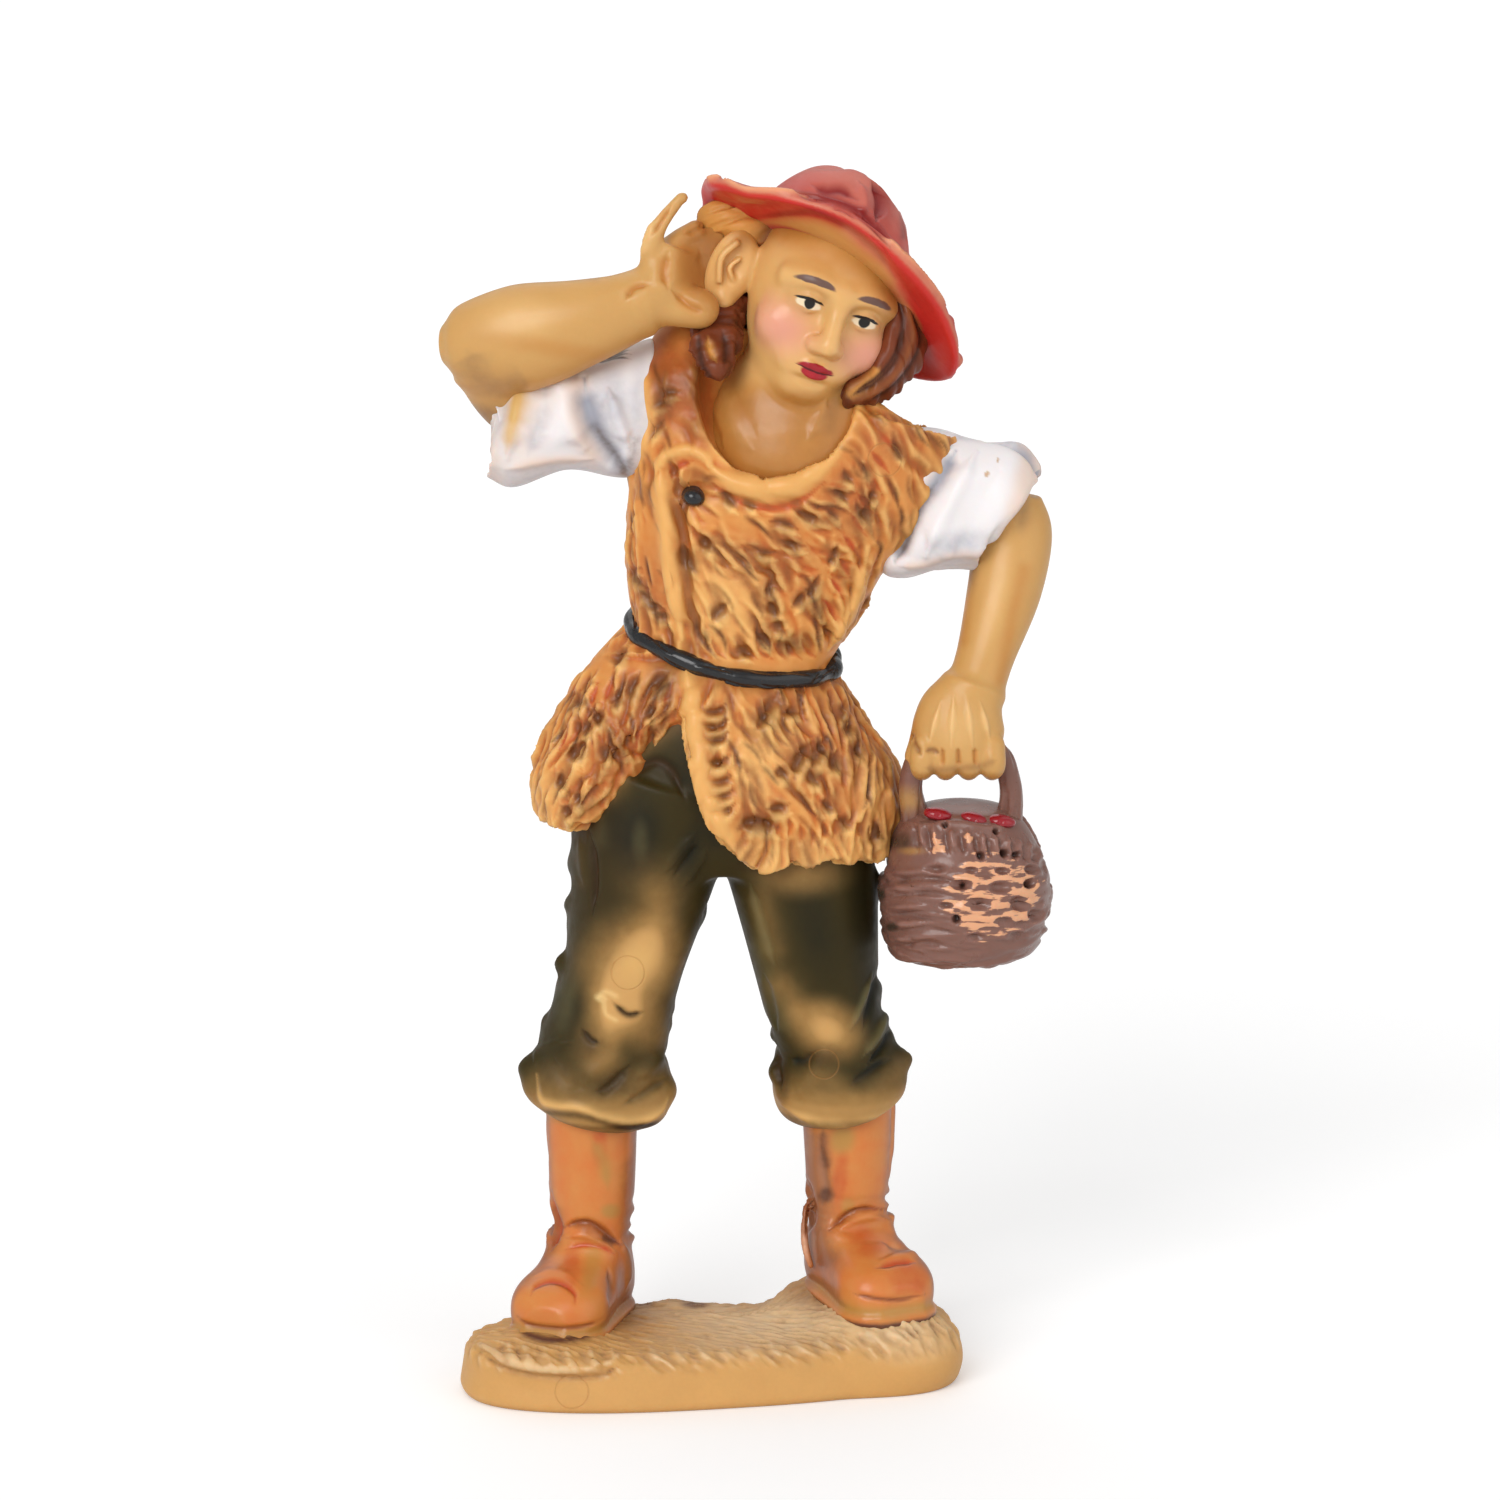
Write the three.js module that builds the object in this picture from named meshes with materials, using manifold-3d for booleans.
// A hand-painted nativity shepherd figurine, moulded in plastic: a listening man in a fur vest and a
// felt hat, one hand cupped behind his ear, the other holding a basket of berries.
//
// Millimetres, +Z up. The origin is the centre of the ground plate's underside. The figure faces -Y,
// and +X is the side of the basket. Heights inside the figure are measured from the ground that the
// boots stand on, so a thicker plate lifts the whole figure.
import * as THREE from "three";
import { LoftGeometry } from "three/addons/geometries/LoftGeometry.js";
import { mergeVertices } from "three/addons/utils/BufferGeometryUtils.js";
import Module from "manifold-3d";

const wasm = await Module();
wasm.setup();

// Fits. Every piece is glued to its neighbour over this gap.
const GLUE_GAP = 0.3;
const WELD = 1e-4;

// Ground plate: a thin oval of straw-covered ground, turned a little away from the figure's front.
const plate = { halfLength: 22.8, halfDepth: 9.8, height: 5.0, turn: 11, edgeRound: 1.2, corner: 2.5 };
const mounds = [
  { x: -15.0, y: -5.4, halfLength: 6.0, halfDepth: 5.0, rise: 0.7 },
  { x: 12.5, y: 4.6, halfLength: 8.5, halfDepth: 6.0, rise: 1.7 },
];

// Boots. Each foot is laid out from its ankle: back to the heel and forward to the toe.
const boot = { soleSink: 0.7 };
const rightFoot = { x: -10.8, y: 4.8, rise: 0, turn: -22 };
const leftFoot = { x: 12.4, y: 6.0, rise: 1.5, turn: 27 };
const footStations = [
  { along: -3.4, wide: 1.9, tall: 3.4 },
  { along: -2.2, wide: 3.2, tall: 6.2 },
  { along: 1.2, wide: 3.7, tall: 8.6 },
  { along: 4.4, wide: 4.1, tall: 6.3 },
  { along: 7.4, wide: 4.5, tall: 5.3 },
  { along: 9.6, wide: 3.8, tall: 4.5 },
  { along: 10.9, wide: 2.1, tall: 3.2 },
];
const shaftStations = [
  { up: 2.4, wide: 3.1, deep: 3.2 },
  { up: 6.8, wide: 3.4, deep: 3.5 },
  { up: 11.5, wide: 3.9, deep: 3.9 },
  { up: 18.5, wide: 4.2, deep: 4.2 },
];

// Trousers, rolled up over the boots. The last two stations of each leg are its rolled cuff.
const rightLeg = [
  { at: [-3.6, 3.8, 50], wide: 7.4, deep: 7.4 },
  { at: [-5.6, 3.8, 43.8], wide: 7.0, deep: 7.1 },
  { at: [-6.6, 3.6, 38.5], wide: 6.2, deep: 6.4 },
  { at: [-8.0, 3.4, 31.9], wide: 5.3, deep: 5.8 },
  { at: [-9.6, 3.9, 25.4], wide: 5.8, deep: 5.8 },
  { at: [-10.1, 4.3, 21.4], wide: 6.7, deep: 6.3 },
  { at: [-10.5, 4.5, 19.6], wide: 6.2, deep: 5.9 },
  { at: [-10.7, 4.6, 18.6], wide: 4.9, deep: 4.9 },
];
const leftLeg = [
  { at: [6.2, 4.2, 50], wide: 7.4, deep: 6.6 },
  { at: [7.8, 4.3, 43.8], wide: 7.0, deep: 6.9 },
  { at: [8.7, 4.5, 38.5], wide: 6.4, deep: 6.4 },
  { at: [10.0, 4.8, 29.3], wide: 5.3, deep: 5.6 },
  { at: [11.0, 5.2, 25.4], wide: 5.3, deep: 5.6 },
  { at: [11.6, 5.6, 21.6], wide: 6.1, deep: 6.0 },
  { at: [12.0, 5.8, 19.6], wide: 5.8, deep: 5.7 },
  { at: [12.2, 5.9, 18.6], wide: 4.7, deep: 4.7 },
];
const pelvis = [
  { at: [1.2, 3.9, 41.6], wide: 6.0, deep: 4.6 },
  { at: [1.2, 3.9, 44.6], wide: 12.4, deep: 6.5 },
  { at: [1.3, 3.9, 50], wide: 12.4, deep: 7.3 },
  { at: [1.6, 3.9, 56], wide: 10.0, deep: 6.8 },
  { at: [2.0, 3.9, 60], wide: 7.2, deep: 5.0 },
];

// Fur vest: the bodice leans towards the basket side, and the skirt flares below the waist.
const bodice = [
  { at: [1.6, 3.8, 55.5], wide: 9.9, deep: 6.6 },
  { at: [2.1, 3.8, 61.3], wide: 9.2, deep: 6.0 },
  { at: [2.9, 3.7, 66.5], wide: 10.5, deep: 6.8 },
  { at: [4.9, 3.6, 73.5], wide: 12.5, deep: 7.6 },
  { at: [6.9, 3.7, 80.0], wide: 14.1, deep: 7.4 },
  { at: [8.2, 4.2, 84.4], wide: 13.8, deep: 6.2 },
  { at: [9.1, 4.7, 86.4], wide: 11.2, deep: 4.6 },
];
// The skirt's stations are evenly spaced in height. Its waist leans like the belt does.
const waistLean = 2.1;
const skirt = [
  { at: [1.8, 3.8, 61.9], wide: 10.0, deep: 6.4 },
  { at: [0.8, 3.8, 57.3], wide: 12.8, deep: 8.0 },
  { at: [0.9, 3.8, 52.7], wide: 15.4, deep: 9.2 },
  { at: [0.7, 3.8, 48.1], wide: 16.7, deep: 9.7 },
  { at: [1.3, 3.8, 43.5], wide: 15.6, deep: 9.3 },
];
// The hem's height round the skirt, by angle from +X towards +Y. The front panel on the basket side
// laps over the other one, whose hem sweeps up to the slit.
const hem = [
  { angle: -180, height: 46.0 },
  { angle: -165, height: 46.6 },
  { angle: -154, height: 46.0 },
  { angle: -143, height: 46.6 },
  { angle: -134, height: 50.0 },
  { angle: -122, height: 55.4 },
  { angle: -106, height: 57.6 },
  { angle: -99, height: 51.5 },
  { angle: -92, height: 46.8 },
  { angle: -80, height: 43.1 },
  { angle: -55, height: 43.6 },
  { angle: -15, height: 42.9 },
  { angle: 60, height: 43.8 },
  { angle: 120, height: 44.2 },
  { angle: 180, height: 46.0 },
];
const skirtWall = 2.2;
const skirtHollow = 3.5;
const neckline = { x: 7.7, y: -1.6, z: 85.8, wide: 8.3, tall: 9.4, depth: 5.6 };
const button = { x: -1.4, y: -3.1, z: 76.4, radius: 1.05, height: 1.5 };

// Belt: a thick cord that hangs a little lower in front and on the basket side.
const belt = { x: 2.3, y: 3.8, z: 62.2, wide: 9.7, deep: 6.7, cord: 0.75, roll: 12, pitch: 15 };

// White shirt sleeves, from the shoulder out to the hem.
const rightSleeve = [
  { at: [-4.2, 4.0, 83.4], wide: 6.2, deep: 5.0 },
  { at: [-8.0, 4.0, 82.6], wide: 5.7, deep: 5.1 },
  { at: [-13.5, 3.9, 81.7], wide: 5.2, deep: 5.2 },
  { at: [-18.6, 3.8, 80.8], wide: 4.6, deep: 4.8 },
  { at: [-19.6, 3.8, 80.6], wide: 3.9, deep: 4.1 },
];
const leftSleeve = [
  { at: [15.2, 4.2, 77.4], wide: 6.3, deep: 5.0 },
  { at: [19.2, 4.0, 76.3], wide: 6.2, deep: 5.3 },
  { at: [23.2, 3.8, 75.0], wide: 6.0, deep: 5.4 },
  { at: [25.9, 3.6, 74.0], wide: 5.5, deep: 5.0 },
  { at: [26.8, 3.5, 73.6], wide: 4.6, deep: 4.2 },
];

// Bare arms, from inside the sleeve round the elbow to the wrist.
const rightUpperArm = [
  { at: [-14.0, 4.0, 81.8], wide: 3.1, deep: 3.2 },
  { at: [-17.4, 3.8, 84.2], wide: 3.2, deep: 3.4 },
  { at: [-19.6, 2.8, 87.6], wide: 3.2, deep: 3.2 },
];
const rightForearm = [
  { at: [-23.4, 2.2, 89.0], wide: 1.6, deep: 1.8 },
  { at: [-21.4, 1.8, 89.2], wide: 3.5, deep: 3.3 },
  { at: [-16.4, 0.4, 89.9], wide: 4.7, deep: 3.7 },
  { at: [-10.8, -0.3, 91.4], wide: 3.8, deep: 3.1 },
  { at: [-5.6, 0.2, 93.0], wide: 2.8, deep: 2.4 },
];
const leftUpperArm = [
  { at: [23.0, 4.0, 75.6], wide: 3.0, deep: 3.0 },
  { at: [26.3, 4.6, 73.6], wide: 3.3, deep: 3.2 },
];
const leftForearm = [
  { at: [27.2, 4.7, 75.2], wide: 2.2, deep: 2.2 },
  { at: [27.0, 4.5, 72.0], wide: 3.4, deep: 3.3 },
  { at: [26.1, 2.9, 67.0], wide: 3.3, deep: 3.1 },
  { at: [24.4, 0.9, 61.5], wide: 2.6, deep: 2.5 },
  { at: [23.4, -0.2, 58.5], wide: 2.6, deep: 2.5 },
];

// The cupped hand: a palm slab behind the ear and four fingers with round tips.
const cuppedPalm = [
  { at: [-6.4, 0.3, 92.8], wide: 2.7, deep: 2.2 },
  { at: [-4.2, 1.0, 94.3], wide: 3.3, deep: 2.4 },
  { at: [-3.0, 2.0, 97.2], wide: 3.1, deep: 1.8 },
];
const cuppedWeb = [
  { at: [-3.9, 1.6, 95.0], wide: 2.8, deep: 1.7 },
  { at: [-1.6, 2.3, 96.0], wide: 3.3, deep: 1.4 },
  { at: [1.4, 3.2, 96.4], wide: 2.9, deep: 1.2 },
];
const cuppedThumb = { from: [-4.4, 0.0, 92.9], to: [-0.9, -0.4, 92.6], radius: 1.8 };
const cuppedFingers = [
  { from: [-4.9, -0.2, 96.0], knuckle: [-4.3, -0.3, 99.3], tip: [-2.2, 0.4, 101.7], radius: 0.85 },
  { from: [-3.7, 1.1, 96.6], knuckle: [-2.8, 1.4, 99.4], tip: [-1.2, 2.0, 100.8], radius: 0.9 },
  { from: [-2.7, 2.4, 96.6], knuckle: [-1.7, 2.9, 98.8], tip: [-0.3, 3.3, 99.4], radius: 0.9 },
  { from: [-2.0, 3.5, 95.8], knuckle: [-1.1, 4.1, 97.4], tip: [0.0, 4.3, 97.8], radius: 0.8 },
];

// The closed hand on the basket's handle: the back of the hand and four curled fingers.
const fistBack = [
  { at: [23.3, -0.4, 59.0], wide: 2.7, deep: 2.5 },
  { at: [22.3, -0.9, 56.6], wide: 3.9, deep: 2.7 },
  { at: [21.9, -1.0, 54.3], wide: 4.0, deep: 2.9 },
  { at: [21.9, -0.9, 52.4], wide: 3.5, deep: 2.5 },
];
const curledFingers = { spread: 6.2, count: 4, forward: 1.5, radius: 1.15, length: 3.2 };
const curledThumb = { from: [19.4, -0.6, 55.6], to: [18.4, -0.3, 52.6], radius: 1.25 };

// Head, rolled towards the basket side and turned a little that way. Its own axes run across the
// face, towards the back of the head, and up.
const head = { x: 10.0, y: 3.1, z: 94.1, roll: 21, turn: 12, nod: 4 };
const skull = [
  { at: [0, -2.9, -9.0], wide: 2.2, deep: 1.9 },
  { at: [0, -2.6, -7.8], wide: 3.9, deep: 3.9 },
  { at: [0, -1.5, -4.8], wide: 5.6, deep: 5.9 },
  { at: [0, -0.4, 0], wide: 6.5, deep: 7.4 },
  { at: [0, 0.2, 3.6], wide: 6.1, deep: 7.1 },
  { at: [0, 0.5, 6.2], wide: 4.3, deep: 5.2 },
  { at: [0, 0.6, 7.3], wide: 2.0, deep: 2.6 },
];
const nose = { tip: [0, -9.0, -2.0], bridge: [0, -6.9, 1.6], radius: 1.0 };
// The listening ear stands out, pushed forward by the cupped hand.
const ears = [
  { x: -7.6, y: 0.3, z: -1.0, wide: 1.6, deep: 1.2, tall: 2.9 },
  { x: 6.4, y: 0.6, z: -0.6, wide: 1.1, deep: 1.7, tall: 2.9 },
];
const neck = [
  { at: [7.3, 4.0, 74.2], wide: 4.6, deep: 3.6 },
  { at: [7.5, 3.0, 77.8], wide: 7.7, deep: 6.0 },
  { at: [7.5, 2.7, 81.6], wide: 8.2, deep: 5.6 },
  { at: [7.7, 3.1, 84.8], wide: 7.1, deep: 5.0 },
  { at: [8.9, 3.8, 89.6], wide: 5.0, deep: 5.0 },
];

// Hair: a bob that shows below the hat from one ear round the back to the other.
const hair = [
  { at: [0, 4.6, -9.2], wide: 4.6, deep: 2.6 },
  { at: [0, 3.4, -7.2], wide: 6.8, deep: 4.5 },
  { at: [0, 1.4, -2.0], wide: 7.9, deep: 7.0 },
  { at: [0, 0.9, 3.0], wide: 7.4, deep: 7.9 },
  { at: [0, 0.7, 6.5], wide: 5.8, deep: 6.6 },
];
// The face's side of the hair is cut off along a turned plane, which frees the listening ear.
const hairline = { y: -0.2, tilt: 14, turn: -17 };

// Hat: pushed back on the head, with a wavy brim that turns up in front and down at the nape.
const hat = { x: 10.1, y: 3.5, z: 96.1, roll: 34, pitch: 26, thickness: 1.3 };
const crown = [
  { up: 0, wide: 8.3, deep: 8.5 },
  { up: 2.6, wide: 7.7, deep: 7.9 },
  { up: 5.2, wide: 6.5, deep: 6.6 },
  { up: 7.2, wide: 4.7, deep: 4.6 },
  { up: 8.2, wide: 2.0, deep: 1.9 },
];
// The brim's edge round the crown, by angle from the hat's own +X towards +Y: how far out it reaches
// and how high it stands over the crown's foot.
const brimEdge = [
  { angle: -180, reach: 12.4, lift: 0.9 },
  { angle: -135, reach: 12.4, lift: -0.8 },
  { angle: -90, reach: 12.2, lift: 0.2 },
  { angle: -45, reach: 12.8, lift: -0.2 },
  { angle: 0, reach: 13.8, lift: -1.6 },
  { angle: 45, reach: 12.2, lift: -2.4 },
  { angle: 90, reach: 11.8, lift: -0.6 },
  { angle: 135, reach: 12.4, lift: -0.8 },
  { angle: 180, reach: 12.4, lift: 0.9 },
];

// Basket, its strap handle and the berries that show over its rim.
const basket = [
  { at: [22.4, 1.3, 34.1], wide: 5.3, deep: 5.0 },
  { at: [22.5, 1.3, 35.1], wide: 6.8, deep: 6.2 },
  { at: [22.8, 1.2, 39.6], wide: 7.8, deep: 7.0 },
  { at: [22.7, 1.2, 43.4], wide: 6.9, deep: 6.4 },
  { at: [22.5, 1.1, 46.2], wide: 5.7, deep: 5.6 },
  { at: [22.4, 1.0, 47.6], wide: 4.1, deep: 4.0 },
  { at: [22.3, 1.0, 48.2], wide: 1.6, deep: 1.5 },
];
const handle = [
  { at: [18.6, 0.6, 45.4], wide: 1.5, deep: 1.2 },
  { at: [17.8, 0.0, 49.8], wide: 1.1, deep: 0.95 },
  { at: [18.9, -0.5, 53.2], wide: 1.0, deep: 0.9 },
  { at: [22.1, -0.8, 54.6], wide: 1.0, deep: 0.9 },
  { at: [25.3, -0.5, 53.2], wide: 1.0, deep: 0.9 },
  { at: [26.7, 0.2, 49.8], wide: 1.0, deep: 0.95 },
  { at: [26.5, 0.8, 45.4], wide: 1.4, deep: 1.2 },
];
const berry = { radius: 1.2, squash: 0.85, stretch: 1.0 };
const berryPlaces = [
  { x: 20.3, y: -2.7, z: 47.3 },
  { x: 23.0, y: -3.1, z: 47.0 },
  { x: 25.5, y: -2.6, z: 46.7 },
];

// Facet counts
const sides = { body: 20, limb: 14, finger: 8, skirt: 36, hat: 24, cord: 6, berry: 10 };
const steps = { body: 2, limb: 2, skirt: 5, belt: 30 };

const colours = {
  ground: 0xc9a063,
  leather: 0xcc7a3f,
  trouserGreen: 0x3d4230,
  fur: 0xc9853f,
  black: 0x1c1b1c,
  shirtWhite: 0xe4dcda,
  skin: 0xd9a866,
  hairBrown: 0x6e4a3b,
  hatRed: 0xa82a28,
  wickerBrown: 0x77574b,
  berryRed: 0x8c0f1a,
};

const turned = (degrees) => THREE.MathUtils.degToRad(degrees);

// Turns a closed geometry into a solid that can be joined to others and cut.
function solidOf(geometry) {
  const bare = new THREE.BufferGeometry()
    .setAttribute("position", geometry.getAttribute("position"))
    .setIndex(geometry.index);
  const welded = mergeVertices(bare, WELD);
  const corners = Array.from(welded.index.array);
  const whole = [];
  for (let i = 0; i < corners.length; i += 3) {
    const [a, b, c] = corners.slice(i, i + 3);
    if (a !== b && b !== c && c !== a) whole.push(a, b, c);
  }
  return new wasm.Manifold(
    new wasm.Mesh({
      numProp: 3,
      vertProperties: welded.attributes.position.array,
      triVerts: new Uint32Array(whole),
    }),
  );
}

// Turns a solid back into a geometry.
function geometryOf(solid) {
  const mesh = solid.getMesh();
  return new THREE.BufferGeometry()
    .setAttribute("position", new THREE.BufferAttribute(mesh.vertProperties, mesh.numProp))
    .setIndex(new THREE.BufferAttribute(mesh.triVerts, 1));
}

// A skin over rings of points, each end closed by a fan round its ring's middle.
function closedLoft(sections) {
  const middle = (points) => {
    const sum = points.reduce((total, p) => total.add(p), new THREE.Vector3());
    return points.map(() => sum.clone().divideScalar(points.length));
  };
  const last = sections[sections.length - 1];
  return new LoftGeometry([middle(sections[0]), ...sections, middle(last)]);
}

function moved(geometry, matrix) {
  return geometry.applyMatrix4(matrix);
}

// A smooth value between rows of a table, t from 0 at the first row to 1 at the last.
function smoothSizes(stations) {
  const line = new THREE.CatmullRomCurve3(
    stations.map((s) => new THREE.Vector3(s.wide, s.deep, 0)),
    false,
    "catmullrom",
    0.5,
  );
  return (t) => line.getPoint(t);
}

// One oval ring of points round `centre`, in the plane square to `along`. `across` is the way its
// width runs, and `power` over 2 makes it squarer.
function ring(centre, along, across, wide, deep, count, power = 2) {
  const u = across.clone().addScaledVector(along, -across.dot(along)).normalize();
  const v = new THREE.Vector3().crossVectors(along, u);
  const bulge = (value) => Math.sign(value) * Math.abs(value) ** (2 / power);
  return Array.from({ length: count }, (_, i) => {
    const angle = (i / count) * 2 * Math.PI;
    return centre
      .clone()
      .addScaledVector(u, wide * bulge(Math.cos(angle)))
      .addScaledVector(v, deep * bulge(Math.sin(angle)));
  });
}

// A closed skin over oval stations. Rings stand square to the line through the stations, or to
// `level` where it is given. `grow` makes the whole form larger, for cutting its seat.
function skin(stations, { count = sides.limb, perSpan = steps.limb, grow = 0, level, across, power } = {}) {
  const line = new THREE.CatmullRomCurve3(
    stations.map((s) => new THREE.Vector3(...s.at)),
    false,
    "catmullrom",
    0.5,
  );
  const sizes = smoothSizes(stations);
  const width = across ?? new THREE.Vector3(1, 0, 0);
  const total = (stations.length - 1) * perSpan;
  const sections = [];
  for (let i = 0; i <= total; i += 1) {
    const t = i / total;
    const along = level ?? line.getTangent(t);
    const size = sizes(t);
    const end = i === 0 ? -1 : i === total ? 1 : 0;
    const centre = line.getPoint(t).addScaledVector(along, end * grow);
    sections.push(ring(centre, along, width, size.x + grow, size.y + grow, count, power));
  }
  return closedLoft(sections);
}

// A rod with round ends through points, such as a finger.
function finger(points, radius, grow = 0) {
  const line = new THREE.CatmullRomCurve3(points.map((p) => new THREE.Vector3(...p)));
  const reach = radius + grow;
  const bodySteps = points.length - 1;
  const domeAngles = [66, 33].map(turned);
  const sideways = new THREE.Vector3(0.2, 1, 0.1);
  const sections = [];
  const add = (t, beyond, scale) => {
    const along = line.getTangent(t);
    const centre = line.getPoint(t).addScaledVector(along, beyond * reach);
    sections.push(ring(centre, along, sideways, reach * scale, reach * scale, sides.finger));
  };
  domeAngles.forEach((a) => add(0, -Math.sin(a), Math.cos(a)));
  for (let i = 0; i <= bodySteps; i += 1) {
    add(i / bodySteps, 0, 1);
  }
  [...domeAngles].reverse().forEach((a) => add(1, Math.sin(a), Math.cos(a)));
  return closedLoft(sections);
}

// Reads a table of {angle, ...} rows at any angle in degrees, eased between its rows.
function roundTable(rows, key) {
  return (degrees) => {
    const wrapped = ((((degrees + 180) % 360) + 360) % 360) - 180;
    const next = rows.findIndex((row) => row.angle >= wrapped);
    if (next <= 0) return rows[0][key];
    const [a, b] = [rows[next - 1], rows[next]];
    const share = (wrapped - a.angle) / (b.angle - a.angle);
    return a[key] + (b[key] - a[key]) * share * share * (3 - 2 * share);
  };
}

function join(...solids) {
  return solids.reduce((whole, one) => whole.add(one));
}

// The largest body of a cut solid, without the slivers that the cut left beside it.
function mainBody(solid) {
  return solid.decompose().reduce((most, body) => (body.volume() > most.volume() ? body : most));
}

function makePlate() {
  const across = new THREE.Vector3(Math.cos(turned(plate.turn)), Math.sin(turned(plate.turn)), 0);
  const up = new THREE.Vector3(0, 0, 1);
  const levels = [
    { z: 0, inset: 0.4 },
    { z: 0.6, inset: 0 },
    { z: plate.height - plate.edgeRound, inset: 0.5 },
    { z: plate.height - 0.35 * plate.edgeRound, inset: 0.5 + 0.35 * plate.edgeRound },
    { z: plate.height, inset: 0.5 + plate.edgeRound },
  ];
  const sections = levels.map(({ z, inset }) =>
    ring(
      new THREE.Vector3(0, 0, z),
      up,
      across,
      plate.halfLength - inset,
      plate.halfDepth - inset,
      2 * sides.limb,
      plate.corner,
    ),
  );
  const flat = solidOf(closedLoft(sections));
  const hills = mounds.map((mound) => {
    const hill = new THREE.SphereGeometry(1, sides.limb, sides.limb / 2);
    hill.scale(mound.halfLength, mound.halfDepth, 2 * mound.rise);
    hill.translate(mound.x, mound.y, plate.height - mound.rise);
    return solidOf(hill);
  });
  return join(flat, ...hills);
}

// A foot's matrix: its own +Y runs from heel to toe before it is turned.
function footMatrix(foot) {
  return new THREE.Matrix4()
    .makeTranslation(foot.x, foot.y, foot.rise)
    .multiply(new THREE.Matrix4().makeRotationZ(turned(180 + foot.turn)));
}

function makeFoot(foot, grow = 0) {
  const stations = footStations.map(({ along, wide, tall }) => ({
    at: [0, along, tall / 2 - boot.soleSink / 2],
    wide,
    deep: tall / 2 + boot.soleSink / 2,
  }));
  const shape = skin(stations, { grow, level: new THREE.Vector3(0, 1, 0), power: 2.5 });
  return solidOf(moved(shape, footMatrix(foot)));
}

function makeShaft(foot, grow = 0) {
  const stations = shaftStations.map(({ up, wide, deep }) => ({
    at: [foot.x, foot.y, foot.rise + up],
    wide,
    deep,
  }));
  return solidOf(skin(stations, { grow, level: new THREE.Vector3(0, 0, 1) }));
}

function makeBoot(foot, grow = 0) {
  return makeFoot(foot, grow).add(makeShaft(foot, grow));
}

function makeTrousers(grow = 0) {
  const leg = (stations) => solidOf(skin(stations, { grow, count: sides.limb + 2 }));
  const hips = solidOf(skin(pelvis, { grow, count: sides.body, level: new THREE.Vector3(0, 0, 1) }));
  return join(leg(rightLeg), leg(leftLeg), hips);
}

// The skirt's rings run from the waist down to the hem, which rises and falls round the figure.
function makeSkirt(grow = 0) {
  const hemHeight = roundTable(hem, "height");
  const sizes = smoothSizes(skirt);
  const line = new THREE.CatmullRomCurve3(skirt.map((s) => new THREE.Vector3(...s.at)));
  const up = new THREE.Vector3(0, 0, 1);
  const width = new THREE.Vector3(1, 0, 0);
  const top = skirt[0].at[2];
  const low = skirt[skirt.length - 1].at[2];
  const count = sides.skirt;
  const sections = [];
  const rows = steps.skirt;
  for (let i = rows; i >= 0; i -= 1) {
    const points = ring(new THREE.Vector3(), up, width, 1, 1, count).map((p) => {
      const waist = top - waistLean * p.x;
      const reach = waist - hemHeight(THREE.MathUtils.radToDeg(Math.atan2(p.y, p.x))) + grow;
      const height = waist - (i / rows) * reach;
      const t = THREE.MathUtils.clamp((waist - height) / (waist - low), 0, 1);
      const size = sizes(t);
      const centre = line.getPoint(t);
      const x = centre.x + p.x * (size.x + grow);
      const y = centre.y + p.y * (size.y + grow);
      return new THREE.Vector3(x, y, height);
    });
    sections.push(points);
  }
  return solidOf(closedLoft(sections));
}

// The hollow under the skirt, which leaves a wall at the hem.
function makeSkirtHollow() {
  const foot = skirt[skirt.length - 1];
  const [x, y, z] = foot.at;
  const up = new THREE.Vector3(0, 0, 1);
  const width = new THREE.Vector3(1, 0, 0);
  const oval = (height, inset) =>
    ring(new THREE.Vector3(x, y, height), up, width, foot.wide - inset, foot.deep - inset, sides.body);
  return solidOf(closedLoft([oval(z - 4, skirtWall), oval(z + skirtHollow, skirtWall + 1)]));
}

function makeBodice(grow = 0) {
  return solidOf(skin(bodice, { grow, count: sides.body, power: 2.3 }));
}

function makeVest() {
  const opening = new THREE.SphereGeometry(1, sides.limb, sides.limb / 2);
  opening.scale(neckline.wide, neckline.depth, neckline.tall);
  opening.translate(neckline.x, neckline.y, neckline.z);
  return join(makeBodice(), makeSkirt()).subtract(join(solidOf(opening), makeSkirtHollow()));
}

function makeButton(grow = 0) {
  const radius = button.radius + grow;
  const disc = new THREE.CylinderGeometry(radius, radius, button.height + 2 * grow, sides.finger);
  disc.translate(button.x, button.y - button.height / 2, button.z);
  return solidOf(disc);
}

function makeSleeve(stations, grow = 0) {
  return solidOf(skin(stations, { grow, across: new THREE.Vector3(0, 0, 1) }));
}

function makeBelt(grow = 0) {
  const tilt = new THREE.Matrix4()
    .makeTranslation(belt.x, belt.y, belt.z)
    .multiply(new THREE.Matrix4().makeRotationY(turned(belt.roll)))
    .multiply(new THREE.Matrix4().makeRotationX(turned(belt.pitch)));
  const sections = Array.from({ length: steps.belt + 1 }, (_, i) => {
    const angle = ((i % steps.belt) / steps.belt) * 2 * Math.PI;
    const out = new THREE.Vector3(Math.cos(angle), Math.sin(angle), 0);
    const centre = new THREE.Vector3(belt.wide * out.x, belt.deep * out.y, 0);
    const along = new THREE.Vector3(-belt.wide * out.y, belt.deep * out.x, 0).normalize();
    return ring(centre, along, out, belt.cord + grow, belt.cord + grow, sides.cord);
  });
  return solidOf(moved(new LoftGeometry(sections), tilt));
}

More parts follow.
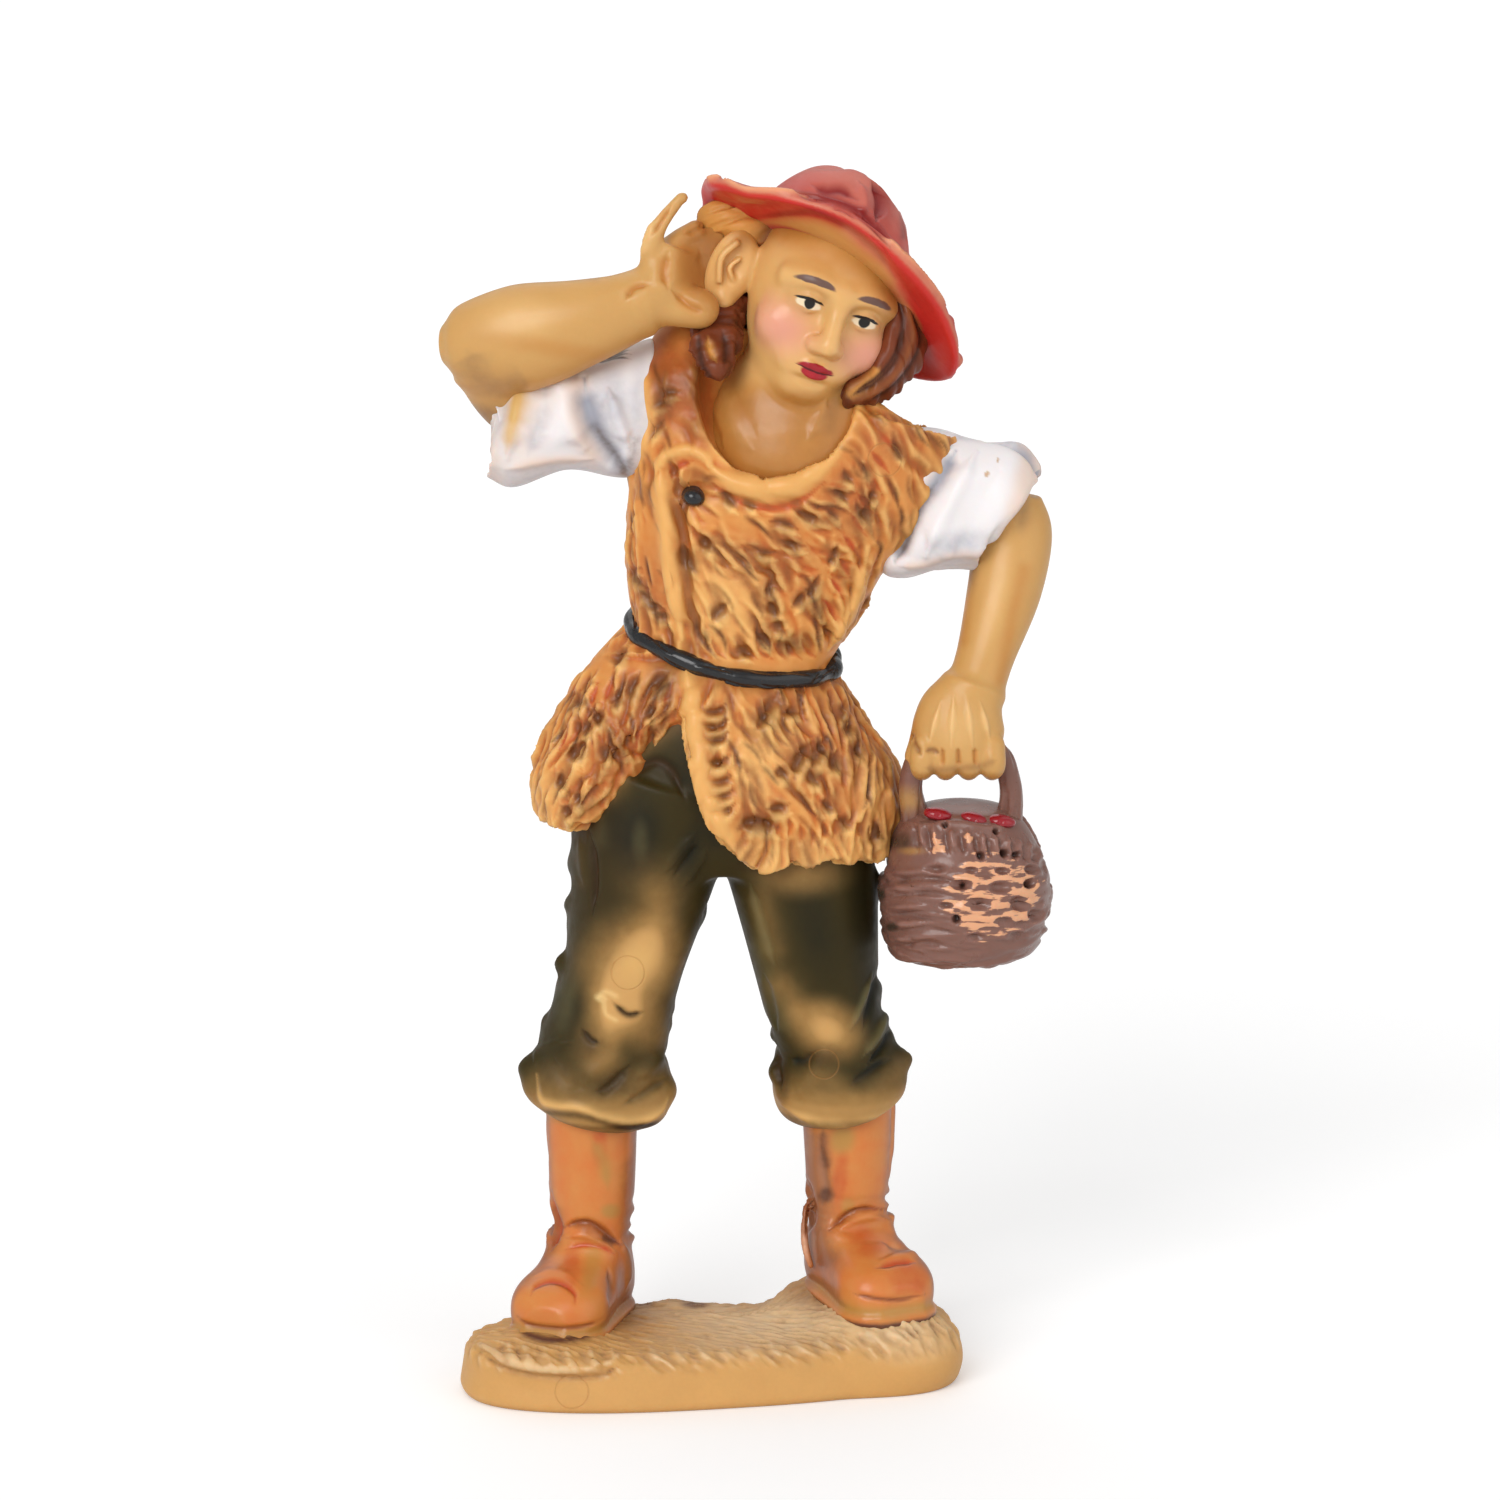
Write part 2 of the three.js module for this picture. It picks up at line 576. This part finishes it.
function makeRightArm(grow = 0) {
  const { from, to, radius } = cuppedThumb;
  const sideways = new THREE.Vector3(0, 0, 1);
  return join(
    solidOf(skin(rightUpperArm, { grow, across: sideways })),
    solidOf(skin(rightForearm, { grow, across: sideways })),
    solidOf(skin(cuppedPalm, { grow, across: new THREE.Vector3(0.3, 1, 0) })),
    solidOf(skin(cuppedWeb, { grow, across: sideways })),
    solidOf(finger([from, to], radius, grow)),
    ...cuppedFingers.map((f) => solidOf(finger([f.from, f.knuckle, f.tip], f.radius, grow))),
  );
}

function makeLeftArm(grow = 0) {
  const { spread, count, forward, radius, length } = curledFingers;
  const [middle, depth, low] = fistBack[fistBack.length - 1].at;
  const front = depth - forward;
  const fingers = Array.from({ length: count }, (_, i) => {
    const x = middle + spread * (i / (count - 1) - 0.5);
    const bends = [
      [x, front, low + length / 2],
      [x, front - 0.2, low],
      [x, front + 1.6, low - 0.9],
    ];
    return solidOf(finger(bends, radius, grow));
  });
  return join(
    solidOf(skin(leftUpperArm, { grow })),
    solidOf(skin(leftForearm, { grow })),
    solidOf(skin(fistBack, { grow })),
    solidOf(finger([curledThumb.from, curledThumb.to], curledThumb.radius, grow)),
    ...fingers,
  );
}

// Where the head's own axes stand in the figure.
function headMatrix() {
  return new THREE.Matrix4()
    .makeTranslation(head.x, head.y, head.z)
    .multiply(new THREE.Matrix4().makeRotationY(turned(head.roll)))
    .multiply(new THREE.Matrix4().makeRotationZ(turned(head.turn)))
    .multiply(new THREE.Matrix4().makeRotationX(turned(head.nod)));
}

function makeHead(grow = 0) {
  const up = new THREE.Vector3(0, 0, 1);
  const place = headMatrix();
  const face = skin(skull, { count: sides.body, perSpan: steps.limb, grow, level: up });
  const shells = ears.map((ear) => {
    const shell = new THREE.SphereGeometry(1, sides.finger, sides.finger);
    shell.scale(ear.wide + grow, ear.deep + grow, ear.tall + grow);
    shell.translate(ear.x, ear.y, ear.z);
    return solidOf(moved(shell, place));
  });
  return join(
    solidOf(moved(face, place)),
    solidOf(moved(finger([nose.bridge, nose.tip], nose.radius, grow), place)),
    ...shells,
    solidOf(skin(neck, { count: sides.body, grow, level: up })),
  );
}

function makeHair(grow = 0) {
  const place = headMatrix();
  const up = new THREE.Vector3(0, 0, 1);
  const bob = solidOf(skin(hair, { count: sides.body, grow, level: up }));
  const back = new THREE.Vector3(0, 1, 0)
    .applyAxisAngle(new THREE.Vector3(1, 0, 0), turned(hairline.tilt))
    .applyAxisAngle(up, turned(hairline.turn));
  return bob.trimByPlane(back.toArray(), hairline.y - grow).transform(place.elements);
}

function hatMatrix() {
  return new THREE.Matrix4()
    .makeTranslation(hat.x, hat.y, hat.z)
    .multiply(new THREE.Matrix4().makeRotationY(turned(hat.roll)))
    .multiply(new THREE.Matrix4().makeRotationX(turned(-hat.pitch)));
}

// The brim is skinned from its underside round the edge to its top, and the crown stands on it.
function makeHat(grow = 0) {
  const reach = roundTable(brimEdge, "reach");
  const lift = roundTable(brimEdge, "lift");
  const foot = crown[0];
  const brimRing = (share, rise) =>
    Array.from({ length: sides.hat }, (_, i) => {
      const degrees = (i / sides.hat) * 360;
      const angle = turned(degrees);
      const radius = THREE.MathUtils.lerp(foot.wide - 2, reach(degrees) + grow, share);
      const height = lift(degrees) * share ** 1.5 + rise;
      return new THREE.Vector3(radius * Math.cos(angle), radius * Math.sin(angle), height);
    });
  const half = hat.thickness / 2 + grow;
  const sections = [
    brimRing(0, -half),
    brimRing(0.55, -half),
    brimRing(0.97, -half),
    brimRing(1, 0),
    brimRing(0.97, half),
    brimRing(0.55, half),
    brimRing(0, half),
  ];
  const brim = closedLoft(sections);
  const dome = skin(
    crown.map(({ up, wide, deep }) => ({ at: [0, 0, up], wide, deep })),
    { count: sides.body, grow, level: new THREE.Vector3(0, 0, 1), power: 2.2 },
  );
  const place = hatMatrix();
  return solidOf(moved(brim, place)).add(solidOf(moved(dome, place)));
}

function makeBasket() {
  return solidOf(skin(basket, { count: sides.body, level: new THREE.Vector3(0, 0, 1) }));
}

function makeHandle(grow = 0) {
  return solidOf(
    skin(handle, { count: sides.finger, perSpan: steps.body, grow, across: new THREE.Vector3(0, 1, 0) }),
  );
}

function makeBerry(place, grow = 0) {
  const ball = new THREE.SphereGeometry(berry.radius + grow, sides.berry, sides.berry / 2);
  ball.scale(berry.stretch, 1, berry.squash);
  ball.translate(place.x, place.y, place.z);
  return solidOf(ball);
}

// Each piece in the figure's own heights, cut by the seats of the pieces that are glued into it.
const bootSeats = join(makeBoot(rightFoot, GLUE_GAP), makeBoot(leftFoot, GLUE_GAP));
const sleeveSeats = join(makeSleeve(rightSleeve, GLUE_GAP), makeSleeve(leftSleeve, GLUE_GAP));
const trouserSeat = makeTrousers(GLUE_GAP);
const bodiceSeat = makeBodice(GLUE_GAP);
const headSeat = makeHead(GLUE_GAP);
const hairSeat = makeHair(GLUE_GAP);
const hatSeat = makeHat(GLUE_GAP);
const handleSeat = makeHandle(GLUE_GAP);
const rightArmSeat = makeRightArm(GLUE_GAP);
const berrySeats = join(...berryPlaces.map((place) => makeBerry(place, GLUE_GAP)));

const figurePieces = {
  right_boot: { solid: makeBoot(rightFoot), colour: colours.leather },
  left_boot: { solid: makeBoot(leftFoot), colour: colours.leather },
  trousers: { solid: makeTrousers().subtract(bootSeats), colour: colours.trouserGreen },
  fur_vest: {
    solid: makeVest().subtract(
      join(trouserSeat, headSeat, sleeveSeats, makeBelt(GLUE_GAP), makeButton(GLUE_GAP)),
    ),
    colour: colours.fur,
  },
  belt_cord: { solid: makeBelt(), colour: colours.black },
  vest_button: { solid: makeButton(), colour: colours.black },
  head: { solid: makeHead(), colour: colours.skin },
  hair: {
    solid: mainBody(makeHair().subtract(join(headSeat, hatSeat, bodiceSeat))),
    colour: colours.hairBrown,
  },
  hat: { solid: makeHat().subtract(join(headSeat, rightArmSeat)), colour: colours.hatRed },
  right_sleeve: {
    solid: makeSleeve(rightSleeve).subtract(rightArmSeat),
    colour: colours.shirtWhite,
  },
  left_sleeve: {
    solid: makeSleeve(leftSleeve).subtract(makeLeftArm(GLUE_GAP)),
    colour: colours.shirtWhite,
  },
  right_arm: {
    solid: mainBody(makeRightArm().subtract(join(headSeat, hairSeat))),
    colour: colours.skin,
  },
  left_arm: { solid: mainBody(makeLeftArm().subtract(handleSeat)), colour: colours.skin },
  basket: {
    solid: makeBasket().subtract(join(handleSeat, berrySeats, trouserSeat, makeSkirt(GLUE_GAP))),
    colour: colours.wickerBrown,
  },
  basket_handle: { solid: makeHandle(), colour: colours.wickerBrown },
};
berryPlaces.forEach((place, i) => {
  figurePieces[`berry_${i + 1}`] = { solid: makeBerry(place), colour: colours.berryRed };
});
const groundSolid = makePlate().subtract(bootSeats.translate([0, 0, plate.height]));

function meshOf(name, { solid, colour }) {
  const material = new THREE.MeshStandardMaterial({ color: colour, roughness: 0.45, metalness: 0 });
  const mesh = new THREE.Mesh(geometryOf(solid), material);
  mesh.name = name;
  return mesh;
}

const figure = new THREE.Group();
figure.position.z = plate.height;
Object.entries(figurePieces).forEach(([name, piece]) => figure.add(meshOf(name, piece)));

const group = new THREE.Group();
group.add(figure, meshOf("ground_plate", { solid: groundSolid, colour: colours.ground }));

export default group;
